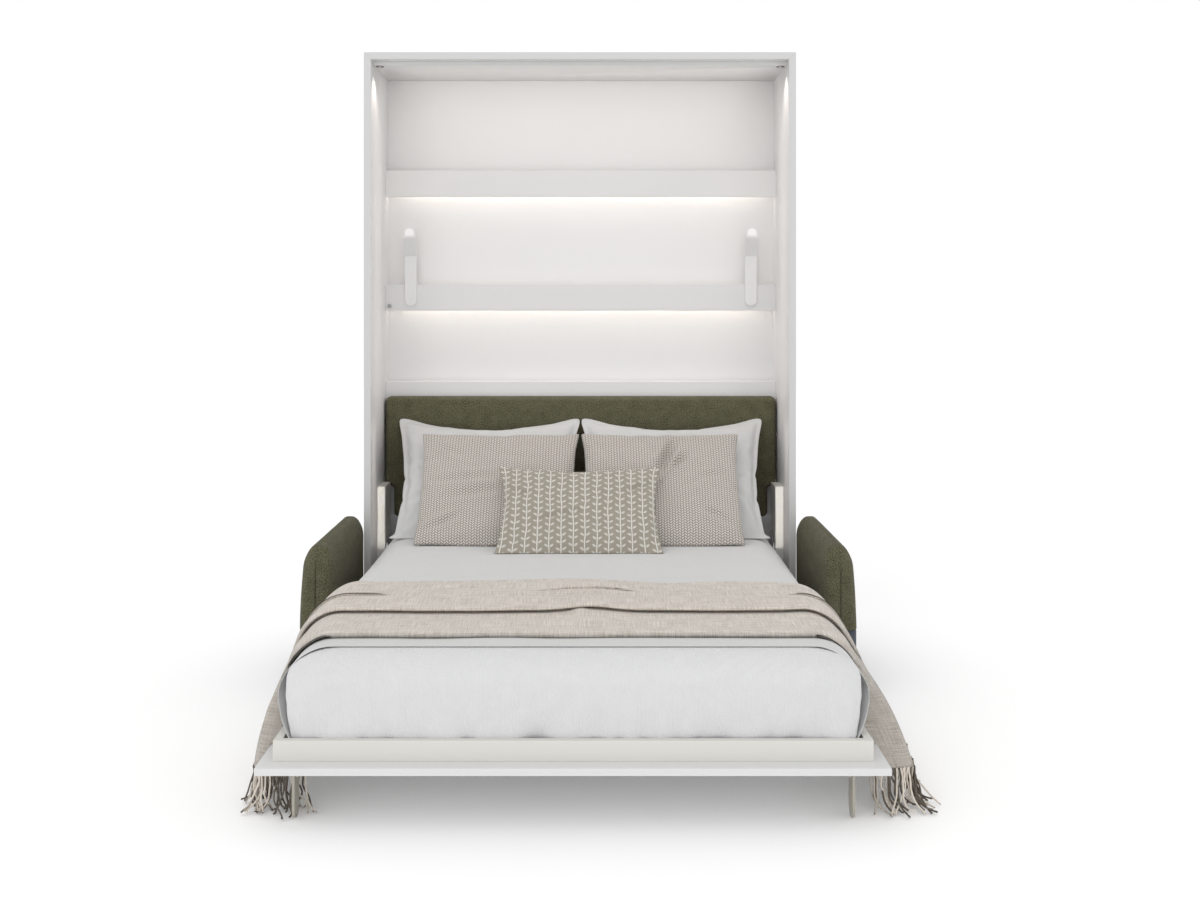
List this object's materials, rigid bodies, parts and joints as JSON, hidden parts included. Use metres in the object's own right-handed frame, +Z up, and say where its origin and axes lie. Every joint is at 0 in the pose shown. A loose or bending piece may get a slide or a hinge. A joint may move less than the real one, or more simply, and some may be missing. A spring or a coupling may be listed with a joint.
{
  "type": "folding wall bed",
  "caption": "Wall bed that folds up into an upright cabinet with lit ledges, a padded headboard and a sofa base; shown folded down with bedding.",
  "frame": {"origin": "on the floor, at the centre of the open bed's outline", "axes": "+X to the right seen from the foot of the bed, +Y from the foot towards the wall, +Z up"},
  "size_m": [1.786, 2.09, 2.18],
  "materials": {
    "white_board": "satin lacquer",
    "cream_board": "satin lacquer",
    "raw_board": "raw",
    "beech": "satin",
    "olive_cloth": "woven upholstery",
    "slate_cloth": "woven upholstery",
    "white_cloth": "fine rib weave",
    "weave_cloth": "basket weave",
    "print_cloth": "printed cotton",
    "throw_cloth": "loose wool weave",
    "steel": "zinc plated",
    "leg_paint": "powder coat",
    "lamp_paint": "powder coat",
    "black_paint": "gloss",
    "chrome": "polished",
    "aluminium": "anodised",
    "light_cover": "opal",
    "black_plastic": "matte",
    "bearing_plastic": "matte"
  },
  "bodies": {
    "cabinet": {"side_panel_left": "white_board", "side_panel_right": "white_board", "top_panel": "white_board", "stop_board": "white_board", "back_panel": "white_board", "wall_rails": "raw_board", "low_rail": "raw_board", "toe_board": "white_board", "ledge_board_upper": "white_board", "ledge_board_lower": "white_board", "ledge_lip_upper": "white_board", "ledge_lip_lower": "white_board", "light_channels": "aluminium", "light_diffusers": "light_cover", "spot_rings": "chrome", "spot_lenses": "light_cover", "reading_lamp_left": "lamp_paint", "reading_lamp_right": "lamp_paint", "lamp_diffusers": "light_cover", "headboard_carrier": "white_board", "headboard_core": "raw_board", "headboard_pad": "olive_cloth", "lift_housing_left": "cream_board", "lift_housing_right": "cream_board", "pivot_bushes": "bearing_plastic", "gas_cylinders": "black_paint", "arm_pad_left": "olive_cloth", "arm_pad_right": "olive_cloth", "arm_frames": "slate_cloth", "arm_feet": "black_plastic", "base_rails": "raw_board", "base_tie": "steel"},
    "bed": {"front_panel": "white_board", "footboard": "cream_board", "side_rail_left": "cream_board", "side_rail_right": "cream_board", "mattress_stop": "steel", "centre_rail": "raw_board", "slats": "beech", "slat_holders": "black_plastic", "pivot_arm_left": "steel", "pivot_arm_right": "steel", "leg_brackets": "steel", "mattress": "white_cloth", "bed_cover": "white_cloth", "throw": "throw_cloth", "pillow_left": "white_cloth", "pillow_right": "white_cloth", "cushion_left": "weave_cloth", "cushion_right": "weave_cloth", "lumbar_cushion": "print_cloth"},
    "leg_left": {"leg_left": "leg_paint"},
    "leg_right": {"leg_right": "leg_paint"},
    "gas_rod_left": {"gas_rod_left": "chrome"},
    "gas_rod_right": {"gas_rod_right": "chrome"},
    "seat_links_rear": {"seat_links_rear": "steel"},
    "seat_links_front": {"seat_links_front": "steel"},
    "seat": {"seat_board": "raw_board", "seat_cushion": "olive_cloth"},
    "switch_button": {"switch_button": "lamp_paint"}
  },
  "joints": [
    {"name": "bed_fold", "type": "hinge", "parent": "cabinet", "child": "bed", "pos_m": [0, 0.772, 0.333], "axis": [-1, 0, 0], "range_deg": [0, 90], "deforming": ["throw", "pillow_left", "pillow_right", "cushion_left", "cushion_right", "lumbar_cushion"]},
    {"name": "leg_left_swing", "type": "hinge", "parent": "bed", "child": "leg_left", "pos_m": [-0.69, -0.923, 0.118], "axis": [-1, 0, 0], "range_deg": [-90, 0]},
    {"name": "leg_right_swing", "type": "hinge", "parent": "bed", "child": "leg_right", "pos_m": [0.69, -0.923, 0.118], "axis": [-1, 0, 0], "range_deg": [-90, 0]},
    {"name": "gas_left_slide", "type": "slide", "parent": "cabinet", "child": "gas_rod_left", "axis": [0, 0, -1], "range_m": [0, 0.087]},
    {"name": "gas_right_slide", "type": "slide", "parent": "cabinet", "child": "gas_rod_right", "axis": [0, 0, -1], "range_m": [0, 0.087]},
    {"name": "seat_rear_swing", "type": "hinge", "parent": "cabinet", "child": "seat_links_rear", "pos_m": [0, 0.535, 0.04], "axis": [-1, 0, 0], "range_deg": [0, 66.1]},
    {"name": "seat_front_swing", "type": "hinge", "parent": "cabinet", "child": "seat_links_front", "pos_m": [0, 0.205, 0.04], "axis": [-1, 0, 0], "range_deg": [0, 66.1]},
    {"name": "seat_level", "type": "hinge", "parent": "seat_links_rear", "child": "seat", "pos_m": [0, 0.23541, 0.0557], "axis": [-1, 0, 0], "range_deg": [-66.1, 0]},
    {"name": "switch_press", "type": "slide", "parent": "cabinet", "child": "switch_button", "axis": [0, 1, 0], "range_m": [0, 0.0015], "stiffness_N_per_m": 400, "springref_m": -0.001}
  ],
  "couplings": [
    {"joint": "leg_left_swing", "follows": "bed_fold", "ratio": -1},
    {"joint": "leg_right_swing", "follows": "bed_fold", "ratio": -1},
    {"joint": "gas_left_slide", "follows": "bed_fold", "m_per_rad": 0.0552},
    {"joint": "gas_right_slide", "follows": "bed_fold", "m_per_rad": 0.0552},
    {"joint": "seat_rear_swing", "follows": "bed_fold", "ratio": 0.73333},
    {"joint": "seat_front_swing", "follows": "bed_fold", "ratio": 0.73333},
    {"joint": "seat_level", "follows": "bed_fold", "ratio": -0.73333}
  ]
}
